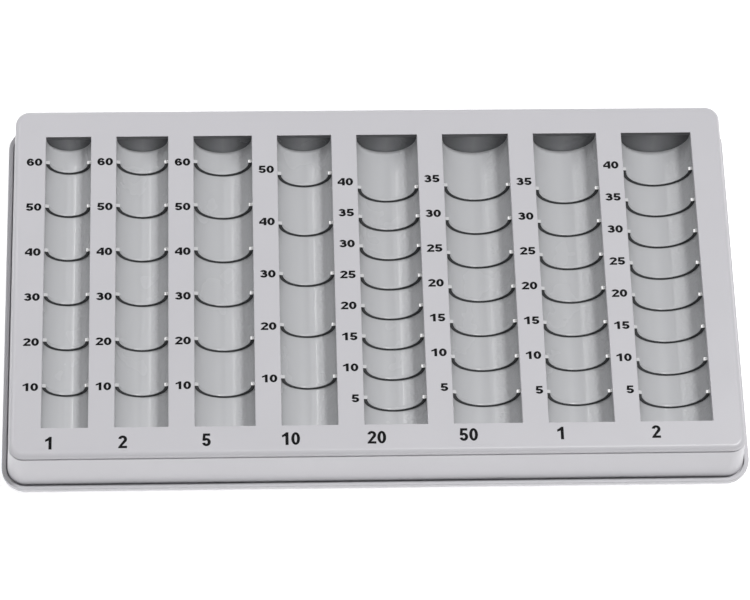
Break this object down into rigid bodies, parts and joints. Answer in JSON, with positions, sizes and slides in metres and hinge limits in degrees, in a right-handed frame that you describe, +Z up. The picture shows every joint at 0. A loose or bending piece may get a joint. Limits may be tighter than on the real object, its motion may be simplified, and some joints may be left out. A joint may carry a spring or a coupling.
{
  "type": "coin counting tray",
  "caption": "Low counter tray with half-round coin troughs under long windows, ribbed into counted cells, lifting off a shallow base pan.",
  "frame": {"origin": "on the counter, under the middle of the tray", "axes": "+X along the row of troughs to the largest coin, +Y from the front edge to the back edge, +Z up"},
  "size_m": [0.2726, 0.1492, 0.0235],
  "materials": {
    "cover_grey": "satin moulded grey plastic",
    "trough_grey": "smooth, fairly glossy grey plastic",
    "pan_grey": "satin moulded grey plastic",
    "screw_steel": "zinc plated",
    "pad_rubber": "matt soft pad"
  },
  "bodies": {
    "base": {"base_pan": "pan_grey", "foot_pad_front_left": "pad_rubber", "foot_pad_front_right": "pad_rubber", "foot_pad_back_left": "pad_rubber", "foot_pad_back_right": "pad_rubber"},
    "tray": {"deck_cover": "cover_grey", "coin_trough_1_cent": "trough_grey", "coin_trough_2_cent": "trough_grey", "coin_trough_5_cent": "trough_grey", "coin_trough_10_cent": "trough_grey", "coin_trough_20_cent": "trough_grey", "coin_trough_50_cent": "trough_grey", "coin_trough_1_euro": "trough_grey", "coin_trough_2_euro": "trough_grey", "trough_screws": "screw_steel"}
  },
  "joints": [
    {"name": "tray_lift", "type": "slide", "parent": "base", "child": "tray", "axis": [0, 0, 1], "range_m": [0, 0.03]}
  ]
}
